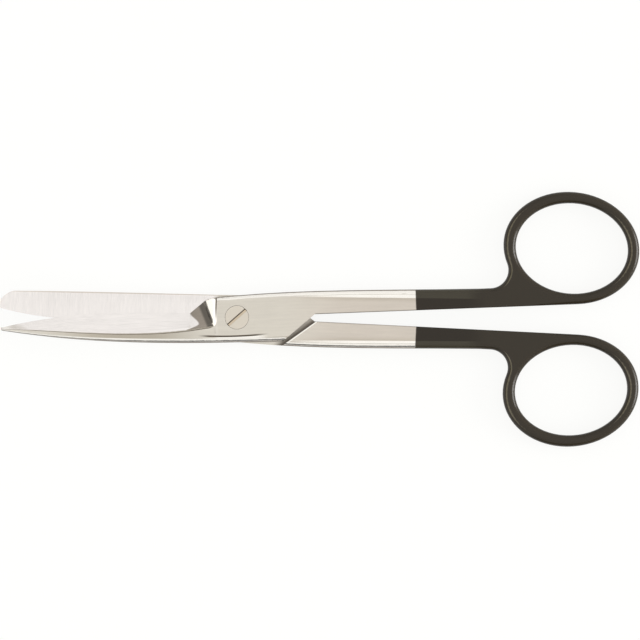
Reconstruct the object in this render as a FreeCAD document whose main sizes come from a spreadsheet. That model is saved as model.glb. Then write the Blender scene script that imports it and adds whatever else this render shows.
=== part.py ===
import FreeCAD, Part
import math
import os
import Sketcher

# Curved operating scissors, 14 cm, one sharp and one blunt blade.
# Row frame: the table is Z = 0, the pivot axis is X = Y = 0, blades point to -X and finger rings to +X.
# Each half is modelled in its own closed frame: u along the half (rings at +u), v across it (own ring
# and cutting edge at +v, own spine at -v), w through it (own outer face at +w, joint plane at w = 0).
# The sharp half lies on top and keeps that frame. The blunt half is turned over about the long axis.

SIZES = [
    # the two layers and the opening that the scissors rest at
    ("layer", 1.85, "thickness of one half where the two lie on each other"),
    ("lap_gap", 0.05, "gap between the two joint faces"),
    ("rest_angle", 2.5, "turn of each half from closed, degrees"),
    # the bend of the blades, the same for both
    ("bend_start", 6.0, "distance from the pivot where the blades start to rise"),
    ("bend_reach", 53.0, "distance from the pivot where the rise is measured"),
    ("bend_rise", 8.2, "height that the blades have risen there"),
    ("tip_spare", 1.2, "how far the bent faces run on past a tip before the outline ends them"),
    # joint plate outline, shared
    ("heel_reach", 10.3, "pivot to the heel of the cutting edge"),
    ("heel_edge", 1.25, "height of the cutting edge over the axis at its heel"),
    ("front_reach", 4.4, "pivot to the front corner of the joint plate"),
    ("flare_reach", 6.9, "pivot to the lower end of the front corner"),
    ("flare_drop", 0.5, "drop of the outer side to the front corner's lower end"),
    ("lap_back", 9.9, "pivot to the back corner of the joint plate"),
    ("lap_end", 17.1, "pivot to the crotch where the shank's inner side starts"),
    ("lap_clearance", 0.45, "gap from the joint plate's slanted end to the other half's shoulder"),
    ("shank_gap", 0.1, "gap between the closed shanks"),
    # outer side of the shank, shared
    ("shank_end", 53.5, "pivot to the end of the shank's outer side"),
    ("shank_width", 4.3, "height of the shank's outer side at its end"),
    ("bow_corner", 4.0, "radius in the corner between the shank and the finger ring"),
    ("thin_until", 62.0, "pivot to where the inner edge starts to round over into the ring"),
    # finger ring
    ("ring_x", 74.0, "pivot to the ring's centre"),
    ("ring_half_length", 14.97, "outer half length of the ring"),
    ("ring_half_width", 12.3, "outer half width of the ring"),
    ("ring_tilt", -10.0, "slant of the ring's long axis, degrees"),
    ("wire_end", 2.63, "width of the ring's wire at its ends"),
    ("wire_side", 2.4, "width of the ring's wire at its sides"),
    ("hole_tilt", -8.1, "slant of the finger hole, degrees"),
    ("hole_shift_x", 0.09, "finger hole's centre from the ring's centre, along the shank"),
    ("hole_shift_y", 0.1, "finger hole's centre from the ring's centre, towards the shank"),
    ("ring_round", 1.12, "rounding of the ring's wire"),
    ("inner_round", 0.22, "rounding along the shank's inner side"),
    # polished rounding along the outer sides of shank, joint and spine
    ("round_front", 0.8, "rounding of the outer side at the joint's front corner"),
    ("round_shank", 1.4, "rounding of the outer side at the shank's end"),
    ("round_spine", 1.0, "rounding of the spine beside the joint"),
    # ground faces of the blades
    ("edge_thickness", 0.1, "thickness left at the cutting edge"),
    ("step_heel", 0.6, "depth of the ground face's step at the heel"),
    ("step_tip", 0.14, "depth of the ground face's step at the tip"),
    ("foot_heel", 0.9, "width of the step's rounded foot at the heel"),
    ("foot_tip", 0.18, "width of the step's rounded foot at the tip"),
    ("grind_sag", 0.1, "hollow of the outer ground face"),
    ("wall_front", 4.5, "pivot to the top of the scoop's end wall"),
    ("wall_run", 2.5, "length of the end wall from the joint face to the joint plane"),
    ("wall_root", 1.1, "radius at the foot of the end wall"),
    ("wall_corner", 1.5, "radius where the shoulder turns into the crease"),
    ("inner_hollow", 0.16, "depth of the hollow in the inner faces"),
    ("inner_land", 0.4, "flat land beside each hollow"),
    # sharp half
    ("sharp_length", 51.8, "pivot to the sharp tip"),
    ("sharp_spine_joint", 5.6, "spine's depth beside the pivot"),
    ("sharp_spine_third", 5.46, "spine curve's depth one third along"),
    ("sharp_spine_second", 5.02, "spine curve's depth two thirds along"),
    ("sharp_spine_tip", 0.9, "spine's depth at the tip"),
    ("sharp_nose", 0.6, "length of the nose's rounding"),
    ("sharp_nose_mid", 0.62, "depth where the nose's rounding ends"),
    ("sharp_edge_third", 2.28, "edge curve's height one third along"),
    ("sharp_edge_second", 2.53, "edge curve's height two thirds along"),
    ("sharp_edge_tip", -0.32, "edge's height at the tip"),
    ("sharp_crease_heel", 2.64, "crease's depth at the heel"),
    ("sharp_crease_third", 3.94, "crease curve's depth one third along"),
    ("sharp_crease_second", 1.6, "crease curve's depth two thirds along"),
    ("sharp_crease_tip", 0.62, "crease's depth at the tip"),
    ("sharp_tip_thickness", 0.6, "blade's thickness at the sharp tip"),
    ("sharp_spine_round_tip", 0.3, "rounding of the spine at the sharp tip"),
    ("sharp_front", 4.06, "height of the outer side above the heel"),
    ("sharp_shank_third", 6.13, "outer side curve's height one third along"),
    ("sharp_shank_second", 4.65, "outer side curve's height two thirds along"),
    # blunt half
    ("blunt_length", 52.2, "pivot to the blunt tip"),
    ("blunt_spine_joint", 5.15, "spine's depth beside the pivot"),
    ("blunt_spine_third", 4.51, "spine curve's depth one third along"),
    ("blunt_spine_second", 4.23, "spine curve's depth two thirds along"),
    ("blunt_spine_tip", 3.3, "spine's depth at the tip"),
    ("blunt_nose", 3.7, "length of the nose's rounding"),
    ("blunt_nose_mid", 0.2, "depth where the nose's rounding ends"),
    ("blunt_edge_third", 1.8, "edge curve's height one third along"),
    ("blunt_edge_second", 3.6, "edge curve's height two thirds along"),
    ("blunt_edge_tip", 0.4, "edge's height at the tip"),
    ("blunt_crease_heel", 2.4, "crease's depth at the heel"),
    ("blunt_crease_third", 3.2, "crease curve's depth one third along"),
    ("blunt_crease_second", 2.6, "crease curve's depth two thirds along"),
    ("blunt_crease_tip", 2.0, "crease's depth at the tip"),
    ("blunt_tip_thickness", 1.0, "blade's thickness at the blunt tip"),
    ("blunt_spine_round_tip", 0.5, "rounding of the spine at the blunt tip"),
    ("blunt_front", 4.55, "height of the outer side above the heel"),
    ("blunt_shank_third", 6.92, "outer side curve's height one third along"),
    ("blunt_shank_second", 5.06, "outer side curve's height two thirds along"),
    # pivot screw
    ("head_radius", 2.57, "radius of the screw's head"),
    ("head_height", 0.5, "height of the head's straight rim"),
    ("neck_radius", 1.7, "radius of the neck that the upper half turns on"),
    ("neck_height", 0.45, "height of the neck above the joint plane"),
    ("thread_radius", 1.45, "radius of the threaded end"),
    ("turning_clearance", 0.06, "gap between the screw and the half that turns on it"),
    ("thread_clearance", 0.02, "gap between the thread and its tapped hole"),
    ("slot_width", 0.7, "width of the screwdriver slot"),
    ("slot_depth", 0.55, "depth of the screwdriver slot"),
    ("slot_angle", 41.5, "direction of the slot from the long axis, degrees"),
]

KAPPA = 0.5523  # share of a quarter round at which a cubic curve has its handles
SHEET = "Sizes"

doc = FreeCAD.newDocument("operating_scissors")
sheet = doc.addObject("Spreadsheet::Sheet", SHEET)
for row, (alias, value, meaning) in enumerate(SIZES, start=1):
    sheet.set("A%d" % row, meaning)
    sheet.set("B%d" % row, str(value))
    sheet.setAlias("B%d" % row, alias)
doc.recompute()


class Size:
    """A length with its formula: the number places the first sketch, the formula stays bound to the sheet."""

    def __init__(self, value, text):
        self.value = float(value)
        self.text = text

    def _join(self, other, sign, value):
        return Size(value, "(%s %s %s)" % (self.text, sign, as_size(other).text))

    def __add__(self, other):
        return self._join(other, "+", self.value + as_size(other).value)

    def __sub__(self, other):
        return self._join(other, "-", self.value - as_size(other).value)

    def __mul__(self, other):
        return self._join(other, "*", self.value * as_size(other).value)

    def __truediv__(self, other):
        return self._join(other, "/", self.value / as_size(other).value)

    def __neg__(self):
        return Size(-self.value, "(0 - %s)" % self.text)

    def __radd__(self, other):
        return as_size(other) + self

    def __rsub__(self, other):
        return as_size(other) - self

    def __rmul__(self, other):
        return as_size(other) * self


def as_size(number):
    if isinstance(number, Size):
        return number
    return Size(number, "%.6f" % number)


def size(alias):
    """The named value of the sheet."""
    return Size(sheet.get(alias), "%s.%s" % (SHEET, alias))


def bezier(poles, at):
    """The point of a cubic curve at a share of its run."""
    back = 1.0 - at
    weights = (back**3, 3 * at * back**2, 3 * at**2 * back, at**3)
    return sum((pole * weight for pole, weight in zip(poles, weights)), Size(0, "0"))


def thirds(start, end):
    """Evenly spaced positions of a cubic curve's poles."""
    return [start + (end - start) * (step / 3.0) for step in range(4)]


def plane(body, role):
    return next(item for item in body.Origin.OriginFeatures if item.Role == role)


def sketch_on(body, name, role, offset=None):
    sketch = body.newObject("Sketcher::SketchObject", name)
    sketch.AttachmentSupport = [(plane(body, role), "")]
    sketch.MapMode = "FlatFace"
    if offset is not None:
        sketch.AttachmentOffset = FreeCAD.Placement(FreeCAD.Vector(0, 0, offset.value), FreeCAD.Rotation())
        sketch.setExpression("AttachmentOffset.Base.z", offset.text)
    return sketch


def bind(sketch, kind, where, formula):
    index = sketch.addConstraint(Sketcher.Constraint(kind, *where, formula.value))
    sketch.setExpression("Constraints[%d]" % index, formula.text)


def place(sketch, geometry, vertex, point):
    bind(sketch, "DistanceX", (geometry, vertex), as_size(point[0]))
    bind(sketch, "DistanceY", (geometry, vertex), as_size(point[1]))


def vector(point):
    return FreeCAD.Vector(as_size(point[0]).value, as_size(point[1]).value, 0)


def add_curve(sketch, poles):
    """A curve of two, three or four bound poles: a line, a quadratic or a cubic."""
    if len(poles) == 2:
        index = sketch.addGeometry(Part.LineSegment(vector(poles[0]), vector(poles[1])), False)
        place(sketch, index, 2, poles[1])
        return index
    degree = len(poles) - 1
    curve = Part.BSplineCurve()
    curve.buildFromPolesMultsKnots([vector(p) for p in poles], [degree + 1] * 2, [0, 1], False, degree)
    index = sketch.addGeometry(curve, False)
    sketch.exposeInternalGeometry(index)
    for step in range(1, len(poles)):
        place(sketch, index + 1 + step, 3, poles[step])
    return index


def add_outline(sketch, curves):
    """A closed loop: each curve is its list of poles, starting where the last one ended."""
    indices = [add_curve(sketch, poles) for poles in curves]
    for here, following in zip(indices, indices[1:] + indices[:1]):
        sketch.addConstraint(Sketcher.Constraint("Coincident", here, 2, following, 1))
    return indices


def add_polygon(sketch, points):
    return add_outline(sketch, [[a, b] for a, b in zip(points, points[1:] + points[:1])])


def ellipse_values(half_length, half_width, tilt_degrees):
    """Half height of a slanted ellipse, and how far its lowest point lies beside its centre."""
    tilt = math.radians(tilt_degrees)
    half_height = math.hypot(half_length * math.sin(tilt), half_width * math.cos(tilt))
    beside = -(half_length**2 - half_width**2) * math.sin(tilt) * math.cos(tilt) / half_height
    return half_height, beside


class Half:
    """The plan curves of one half, in its own closed frame."""

    def __init__(self, name, bend_sign):
        self.name = name
        self.mate = "blunt" if name == "sharp" else "sharp"
        self.bend = bend_sign * size("bend_rise")
        self.length = size(name + "_length")
        self.face = size("lap_gap") / 2
        self.outer = self.face + size("layer")
        spine_v = [-size(name + tail) for tail in ("_spine_joint", "_spine_third", "_spine_second", "_spine_tip")]
        self.spine = list(zip(thirds(size("lap_back"), -self.length), spine_v))
        self.edge_u = thirds(-size("heel_reach"), -self.length)
        heights = [size("heel_edge")] + [size(name + tail) for tail in ("_edge_third", "_edge_second", "_edge_tip")]
        self.edge = list(zip(self.edge_u, heights))
        self.crease = [-size(name + "_crease_" + tail) for tail in ("heel", "third", "second", "tip")]
        shank = [size(name + "_front"), size(name + "_shank_third"), size(name + "_shank_second")]
        self.shank = list(zip(thirds(-size("heel_reach"), size("shank_end")), shank + [size("shank_width")]))

    def lift(self, u):
        """Height of the bent middle surface over the joint plane at u."""
        share = (-u - size("bend_start")) / (size("bend_reach") - size("bend_start"))
        return self.bend * share * share

    def thickness(self, u):
        """Thickness of the blade at u."""
        share = (-u - size("bend_start")) / (self.length - size("bend_start"))
        return size("layer") - (size("layer") - size(self.name + "_tip_thickness")) * share * share


def plan_sketch(body, half):
    """The outline seen from above, finger hole included."""
    sketch = sketch_on(body, half.name + "_plan", "XY_Plane")
    side = size("shank_gap") / 2
    crotch = (size("lap_end"), side)
    thin = (size("thin_until"), side)
    joint = [half.spine[0], crotch, thin]
    blade = [half.spine, [half.spine[3], half.edge[3]], half.edge[::-1]]
    front = [[half.edge[0], half.shank[0]], half.shank]
    curves = blade + front
    chain = [add_curve(sketch, poles) for poles in curves]
    for here, following in zip(chain, chain[1:]):
        sketch.addConstraint(Sketcher.Constraint("Coincident", here, 2, following, 1))
    lines = [add_curve(sketch, [a, b]) for a, b in zip(joint, joint[1:])]
    place(sketch, lines[0], 1, joint[0])
    sketch.addConstraint(Sketcher.Constraint("Coincident", lines[0], 1, chain[0], 1))
    for here, following in zip(lines, lines[1:]):
        sketch.addConstraint(Sketcher.Constraint("Coincident", here, 2, following, 1))
    add_ring(sketch, half, chain[-1], lines[-1], side)
    return sketch


def slanted_ellipse(middle, half_length, half_width, tilt):
    slant = FreeCAD.Rotation(FreeCAD.Vector(0, 0, 1), tilt.value)
    tip = middle + slant.multVec(FreeCAD.Vector(half_length.value, 0, 0))
    top = middle + slant.multVec(FreeCAD.Vector(0, half_width.value, 0))
    return Part.Ellipse(tip, top, middle)


def add_ring(sketch, half, outer_side, inner_side, side):
    """The ring's outline, which runs smoothly out of both sides of the shank, and the finger hole in it."""
    half_length, half_width, tilt = size("ring_half_length"), size("ring_half_width"), size("ring_tilt")
    half_height, beside = ellipse_values(half_length.value, half_width.value, tilt.value)
    centre = FreeCAD.Vector(size("ring_x").value, side.value + half_height, 0)
    low = FreeCAD.Vector(centre.x + beside, side.value, 0)
    ellipse = slanted_ellipse(centre, half_length, half_width, tilt)
    radius = size("bow_corner")
    nook, meet = nook_guess(ellipse, centre.x, size("shank_width").value + radius.value, radius.value)
    landing_end = FreeCAD.Vector(nook.x, nook.y - radius.value, 0)

    start, end = ellipse.parameter(low), ellipse.parameter(meet)
    ring = sketch.addGeometry(Part.ArcOfEllipse(ellipse, start, end + (2 * math.pi if end < start else 0)), False)
    sketch.exposeInternalGeometry(ring)
    bind(sketch, "DistanceX", (ring, 3), size("ring_x"))
    bind(sketch, "Distance", (ring + 1,), half_length * 2)
    bind(sketch, "Distance", (ring + 2,), half_width * 2)
    bind_angle(sketch, ring + 1, tilt)

    rounding = sketch.addGeometry(Part.LineSegment(vector((size("thin_until"), side)), low), False)
    sketch.addConstraint(Sketcher.Constraint("Coincident", inner_side, 2, rounding, 1))
    sketch.addConstraint(Sketcher.Constraint("Horizontal", rounding))
    sketch.addConstraint(Sketcher.Constraint("Tangent", rounding, 2, ring, 1))

    landing = sketch.addGeometry(Part.LineSegment(vector(half.shank[3]), landing_end), False)
    sketch.addConstraint(Sketcher.Constraint("Coincident", landing, 1, outer_side, 2))
    sketch.addConstraint(Sketcher.Constraint("Horizontal", landing))
    circle = Part.Circle(nook, FreeCAD.Vector(0, 0, 1), radius.value)
    first, last = circle.parameter(landing_end), circle.parameter(meet)
    corner = sketch.addGeometry(Part.ArcOfCircle(circle, first, last + (2 * math.pi if last < first else 0)), False)
    bind(sketch, "Radius", (corner,), radius)
    sketch.addConstraint(Sketcher.Constraint("Tangent", landing, 2, corner, 1))
    sketch.addConstraint(Sketcher.Constraint("Tangent", corner, 2, ring, 2))

    middle = centre + FreeCAD.Vector(size("hole_shift_x").value, -size("hole_shift_y").value, 0)
    hole_length, hole_width = half_length - size("wire_end"), half_width - size("wire_side")
    hole = sketch.addGeometry(slanted_ellipse(middle, hole_length, hole_width, size("hole_tilt")), False)
    sketch.exposeInternalGeometry(hole)
    bind(sketch, "DistanceX", (ring, 3, hole, 3), size("hole_shift_x"))
    bind(sketch, "DistanceY", (hole, 3, ring, 3), size("hole_shift_y"))
    bind(sketch, "Distance", (hole + 1,), hole_length * 2)
    bind(sketch, "Distance", (hole + 2,), hole_width * 2)
    bind_angle(sketch, hole + 1, size("hole_tilt"))


def nook_guess(ellipse, right, height, radius):
    """Centre of the corner's circle at this height, found by halving, and where it touches the ellipse."""
    edge = ellipse.toShape()
    low, high = right - 3 * ellipse.MajorRadius, right
    for _ in range(50):
        middle = FreeCAD.Vector((low + high) / 2, height, 0)
        gap = edge.distToShape(Part.Vertex(middle))[0]
        inside = (middle - ellipse.Center).Length < ellipse.MinorRadius
        if gap > radius and not inside:
            low = middle.x
        else:
            high = middle.x
    middle = FreeCAD.Vector(low, height, 0)
    return middle, edge.distToShape(Part.Vertex(middle))[1][0][0]


def bind_angle(sketch, line, degrees):
    index = sketch.addConstraint(Sketcher.Constraint("Angle", line, math.radians(degrees.value)))
    sketch.setExpression("Constraints[%d]" % index, "%s * 1deg" % degrees.text)


def pad(body, name, sketch, length):
    feature = body.newObject("PartDesign::Pad", name)
    feature.Profile = sketch
    feature.Midplane = True
    feature.Refine = False
    feature.setExpression("Length", length.text)
    doc.recompute()
    return feature


def pocket(body, name, sketch):
    feature = body.newObject("PartDesign::Pocket", name)
    feature.Profile = sketch
    feature.Type = "ThroughAll"
    feature.Refine = False
    doc.recompute()
    return feature


def blank(half):
    """One half forged to its outline, its bend and its lap, with all edges still sharp."""
    body = doc.addObject("PartDesign::Body", half.name + "_blank")
    deep = (size("bend_rise") * 1.5 + size("layer") * 3) * 2
    plan = plan_sketch(body, half)
    doc.recompute()
    pad(body, half.name + "_forging", plan, deep)

    far = size("ring_x") * 2
    high = deep / 2 + size("layer")
    start_u, tip_u = -size("bend_start"), (half.length + size("tip_spare")) * -1
    middle_u = (tip_u + start_u) / 2
    beside = size("ring_half_length") * 3
    rise, taper = half.lift(tip_u), size("layer") - half.thickness(tip_u)
    over = sketch_on(body, half.name + "_over", "XZ_Plane", beside)
    top = [(start_u, half.outer), (middle_u, half.outer), (tip_u, half.outer - taper + rise)]
    add_outline(over, [[(far, half.outer), top[0]], top, [top[2], (tip_u, high)],
                       [(tip_u, high), (far, high)], [(far, high), (far, half.outer)]])
    doc.recompute()
    pocket(body, half.name + "_outer_face", over)

    under = sketch_on(body, half.name + "_under", "XZ_Plane", beside)
    low = [(start_u, half.face), (middle_u, half.face), (tip_u, half.face + rise)]
    add_outline(under, [[(far, -half.outer), (start_u, -half.outer)], [(start_u, -half.outer), low[0]], low,
                        [low[2], (tip_u, -high)], [(tip_u, -high), (far, -high)],
                        [(far, -high), (far, -half.outer)]])
    doc.recompute()
    pocket(body, half.name + "_inner_face", under)

    # The other half's joint plate is let in up to a shoulder that runs beside its slanted end.
    lap = sketch_on(body, half.name + "_lap", "XY_Plane", half.face)
    mate_v = size(half.mate + "_spine_joint")
    side = -size("shank_gap") / 2
    slant = (size("lap_end") - size("lap_back")) / (mate_v - side)
    foot_u = size("lap_end") + size("lap_clearance")
    low_v, high_v = -mate_v * 2, mate_v * 2
    add_polygon(lap, [(start_u * 1.2, low_v), (foot_u + slant * (side - low_v), low_v),
                      (foot_u - slant * (high_v - side), high_v), (start_u * 1.2, high_v)])
    doc.recompute()
    pocket(body, half.name + "_lap_recess", lap)
    return body


def run_of(edge):
    """The two ends of an edge in the order of its own run."""
    return edge.valueAt(edge.FirstParameter), edge.valueAt(edge.LastParameter)


def rounded(half, body):
    """The blank with its outer sides, its ring and its spine rounded over."""
    shape = body.Shape
    outer, side = half.outer.value, size("shank_gap").value / 2
    ring_left = size("ring_x").value - size("ring_half_length").value
    thin_until, start = size("thin_until").value, -size("bend_start").value
    ring_round, inner_round = size("ring_round").value, size("inner_round").value
    front_round, spine_round = size("round_front").value, size("round_spine").value
    tip_round = size(half.name + "_spine_round_tip").value
    shank_u = half.shank[3][0].value
    tip_u = half.spine[3][0].value

    def shank_round(point):
        share = (point.x + size("heel_reach").value) / (shank_u + size("heel_reach").value)
        if share > 1.001:
            return ring_round
        return front_round + (size("round_shank").value - front_round) * max(share, 0.0)

    def spine_rounding(point):
        share = (point.x - start) / (tip_u - start)
        return spine_round + (tip_round - spine_round) * min(max(share, 0.0), 1.0)

    def inner_rounding(point):
        return ring_round if point.x > thin_until + 1e-3 else inner_round

    chosen = []
    for index, edge in enumerate(shape.Edges, start=1):
        middle = edge.valueAt((edge.FirstParameter + edge.LastParameter) / 2)
        first, last = run_of(edge)
        if abs(first.z - last.z) < 1e-4 and abs(abs(middle.z) - outer) < 1e-4:
            if first.x > ring_left and middle.y > side + 1e-3:
                law = lambda point: ring_round
            elif abs(middle.y - side) < 1e-4:
                law = inner_rounding
            elif middle.y > 0.7 * half.shank[0][1].value and abs(first.x - last.x) > 1 and first.x > middle.x - 99:
                law = shank_round
            elif middle.z > 0 and middle.y < half.spine[0][1].value * 0.9 and abs(first.x - last.x) > 1:
                law = spine_rounding
            else:
                continue
        elif middle.z > 0 and middle.x < start and on_spine_top(half, middle):
            law = spine_rounding
        else:
            continue
        chosen.append((index, law(first), law(last)))
    feature = doc.addObject("Part::Fillet", half.name + "_rounded")
    feature.Base = body
    feature.Edges = chosen
    doc.recompute()
    return feature


def on_spine_top(half, point):
    """Whether a point lies on the bent outer face's edge along the spine."""
    share = (half.spine[0][0].value - point.x) / (half.spine[0][0].value - half.spine[3][0].value)
    if share > 1:
        return False
    on_curve = abs(bezier([pole[1] for pole in half.spine], share).value - point.y) < 0.05
    top = half.face + half.lift(as_size(point.x)) + half.thickness(as_size(point.x))
    return on_curve and abs(top.value - point.z) < 0.1


def section(body, name, u, loops):
    sketch = sketch_on(body, name, "YZ_Plane", u)
    add_outline(sketch, loops)
    return sketch


def loft(body, name, sections):
    feature = body.newObject("PartDesign::AdditiveLoft", name)
    feature.Profile = sections[0]
    feature.Sections = sections[1:]
    feature.Refine = False
    doc.recompute()
    return feature


def grind_section(body, half, name, u, share, edge_v, edge_reach):
    """What the wheel clears at one station: all above the ground face, from the crease to beyond the edge."""
    crease_v = bezier(half.crease, share)
    base = half.face + half.lift(u)
    step = size("step_heel") + (size("step_tip") - size("step_heel")) * max(share, 0.0)
    rim = base + half.thickness(u)
    root = rim - step
    foot_v = crease_v + size("foot_heel") + (size("foot_tip") - size("foot_heel")) * max(share, 0.0)
    thin = size("edge_thickness")
    run_out = edge_v + thin * (edge_v - foot_v) / (root - base - thin)
    high = base + size("layer") * 3
    far_v = run_out + edge_reach
    sag = size("grind_sag") * (2 - 1.8 * max(share, 0.0))
    above = rim + size("grind_sag")
    wall = [(crease_v, above), (crease_v, root), (foot_v, root)]
    hollow = [(foot_v, root), ((foot_v + run_out) / 2, (root + base) / 2 - sag), (run_out, base)]
    return section(body, name, u, [
        [(crease_v, high), (crease_v, above)], wall, hollow, [(run_out, base), (far_v, base)],
        [(far_v, base), (far_v, high)], [(far_v, high), (crease_v, high)]])


def grinding(half):
    """The body that the wheel clears off a blade's outer face, with the scooped run-out at the heel."""
    body = doc.addObject("PartDesign::Body", half.name + "_grinding")
    reach = size("heel_edge") * 2
    edge_v = [pole[1] for pole in half.edge]
    along = [grind_section(body, half, half.name + "_grind_tip", -half.length - 1, 1.0, edge_v[3], reach)]
    for number, share in enumerate((0.86, 0.68, 0.5, 0.32, 0.15, 0.0)):
        name = "%s_grind_%d" % (half.name, number)
        along.append(grind_section(body, half, name, bezier(half.edge_u, share), share, bezier(edge_v, share), reach))
    doc.recompute()
    loft(body, half.name + "_ground_face", along)
    flare_v = front_corner(half)[1][1]
    stations = ((-size("heel_reach"), 0.0, size("heel_edge")), (-size("flare_reach"), -0.08, flare_v),
                (-size("wall_front") / 2, -0.17, flare_v))
    scoop = [grind_section(body, half, "%s_scoop_%d" % (half.name, number), u, share, v, reach)
             for number, (u, share, v) in enumerate(stations)]
    doc.recompute()
    loft(body, half.name + "_scoop", scoop)

    wall = sketch_on(body, half.name + "_wall", "XZ_Plane", reach * 5)
    front, run, tall = -size("wall_front"), size("wall_run"), size("layer")
    low, high = half.outer - tall * 2, half.outer + tall * 4
    add_polygon(wall, [(front - run * 2, low), (front + run * 4, high), (run * 4, high), (run * 4, low)])
    doc.recompute()
    end_wall = pocket(body, half.name + "_end_wall", wall)
    foot = body.newObject("PartDesign::Fillet", half.name + "_wall_foot")
    foot.Base = (end_wall, [wall_foot_edge(half, end_wall.Shape)])
    foot.setExpression("Radius", size("wall_root").text)
    foot.Refine = False
    doc.recompute()

    corner = sketch_on(body, half.name + "_corner", "XY_Plane", high)
    along = (size("heel_reach") - size("wall_front")) / (half.edge_u[3] - half.edge_u[0])
    radius = size("wall_corner")
    crease_v = bezier_at(half.crease, along)
    turn_v = bezier_at(half.crease, along + radius / (half.edge_u[0] - half.edge_u[3]))
    past_v = crease_v - radius * 2
    add_outline(corner, [
        [(front, crease_v + radius), (front, crease_v), (front - radius, turn_v)],
        [(front - radius, turn_v), (front - radius, past_v)], [(front - radius, past_v), (run, past_v)],
        [(run, past_v), (run, crease_v + radius)], [(run, crease_v + radius), (front, crease_v + radius)]])
    doc.recompute()
    pocket(body, half.name + "_shoulder_corner", corner)
    return body


def wall_foot_edge(half, shape):
    """Name of the edge along the foot of the scoop's end wall."""
    front, rise = -size("wall_front").value, size("layer").value / size("wall_run").value
    for number, edge in enumerate(shape.Edges, start=1):
        first, last = run_of(edge)
        middle = edge.valueAt((edge.FirstParameter + edge.LastParameter) / 2)
        on_wall = all(abs(p.z - half.outer.value - (p.x - front) * rise) < 1e-3 for p in (first, middle, last))
        if on_wall and first.y * last.y < 0 and middle.z < half.outer.value:
            return "Edge%d" % number
    raise RuntimeError("the end wall of the %s half has no foot" % half.name)


def front_corner(half):
    """The joint plate's front corner: the heel, the corner's lower end and its upper end on the outer side."""
    run = half.shank[3][0] - half.shank[0][0]
    heights = [pole[1] for pole in half.shank]
    upper = bezier_at(heights, (size("heel_reach") - size("front_reach")) / run)
    lower = bezier_at(heights, (size("heel_reach") - size("flare_reach")) / run) - size("flare_drop")
    return [half.edge[0], (-size("flare_reach"), lower), (-size("front_reach"), upper)]


def nosing(half):
    """What is cut away in front of the nose: a corner rounded from the spine to the tip."""
    body = doc.addObject("PartDesign::Body", half.name + "_nosing")
    sketch = sketch_on(body, half.name + "_nose_outline", "XY_Plane")
    nose, mid_v = size(half.name + "_nose"), -size(half.name + "_nose_mid")
    tip_u = -half.length
    run = half.spine[0][0] - half.spine[3][0]
    start_v = bezier_at([pole[1] for pole in half.spine], (half.spine[0][0] - tip_u - nose) / run)
    round_off = [(tip_u + nose, start_v), (tip_u + nose * (1 - KAPPA), start_v),
                 (tip_u, mid_v + (start_v - mid_v) * (1 - KAPPA)), (tip_u, mid_v)]
    low, beyond = start_v - 1, tip_u - 1
    add_outline(sketch, [round_off, [(tip_u, mid_v), (beyond, mid_v + 1)], [(beyond, mid_v + 1), (beyond, low)],
                         [(beyond, low), (tip_u + nose * 1.3, low)], [(tip_u + nose * 1.3, low), (tip_u + nose, start_v)]])
    doc.recompute()
    pad(body, half.name + "_nose_cut", sketch, (size("bend_rise") + size("layer") * 3) * 2)
    return body


def flaring(half):
    """What is cut away in front of the joint plate's corner."""
    body = doc.addObject("PartDesign::Body", half.name + "_flaring")
    sketch = sketch_on(body, half.name + "_flare", "XY_Plane")
    corner = front_corner(half)
    high = corner[2][1] * 2
    beyond = -size("heel_reach") - 1
    add_polygon(sketch, corner + [(-size("front_reach"), high), (beyond, high), (beyond, half.edge[0][1] + 1)])
    doc.recompute()
    pad(body, half.name + "_flare_cut", sketch, (size("bend_rise") + size("layer") * 3) * 2)
    return body


def hollowing(half):
    """The shallow hollow that is ground into a blade's inner face between two flat lands."""
    body = doc.addObject("PartDesign::Body", half.name + "_hollowing")
    sections = []
    for number, (share, deepness) in enumerate(((0.93, 0.6), (0.8, 1.0), (0.55, 1.0), (0.3, 1.0), (-0.095, 1.0))):
        u = bezier(half.edge_u, share)
        spine_share = (half.spine[0][0] - u) / (half.spine[0][0] - half.spine[3][0])
        edge_v = bezier([pole[1] for pole in half.edge], share) - size("inner_land")
        spine_v = bezier_at([pole[1] for pole in half.spine], spine_share) + size("inner_land")
        base = half.face + half.lift(u)
        low = base - size("layer")
        depth = size("inner_hollow") * deepness
        middle, reach = (spine_v + edge_v) / 2, (edge_v - spine_v) / 2
        beyond = reach + size("inner_land") / 2
        spread = (beyond / reach) * (beyond / reach)
        end_w, top_w = base + depth - depth * spread, base + depth + depth * spread
        sections.append(section(body, "%s_hollow_%d" % (half.name, number), u, [
            [(middle - beyond, low), (middle - beyond, end_w)],
            [(middle - beyond, end_w), (middle, top_w), (middle + beyond, end_w)],
            [(middle + beyond, end_w), (middle + beyond, low)], [(middle + beyond, low), (middle - beyond, low)]]))
    doc.recompute()
    loft(body, half.name + "_hollow", sections)
    return body


def bezier_at(poles, share):
    """The point of a cubic curve at a share that is itself a size."""
    back = 1 - share
    return (poles[0] * back * back * back + poles[1] * back * back * share * 3
            + poles[2] * back * share * share * 3 + poles[3] * share * share * share)


def turned(name, profile):
    """A body turned about the pivot axis from a profile of radius and height."""
    body = doc.addObject("PartDesign::Body", name)
    sketch = sketch_on(body, name + "_profile", "XZ_Plane")
    add_polygon(sketch, profile)
    doc.recompute()
    feature = body.newObject("PartDesign::Revolution", name + "_turning")
    feature.Profile = sketch
    feature.ReferenceAxis = (sketch, ["V_Axis"])
    feature.Angle = 360
    doc.recompute()
    return body


def cut(name, base, tool):
    feature = doc.addObject("Part::Cut", name)
    feature.Base = base
    feature.Tool = tool
    feature.Refine = False
    doc.recompute()
    return feature


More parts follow.
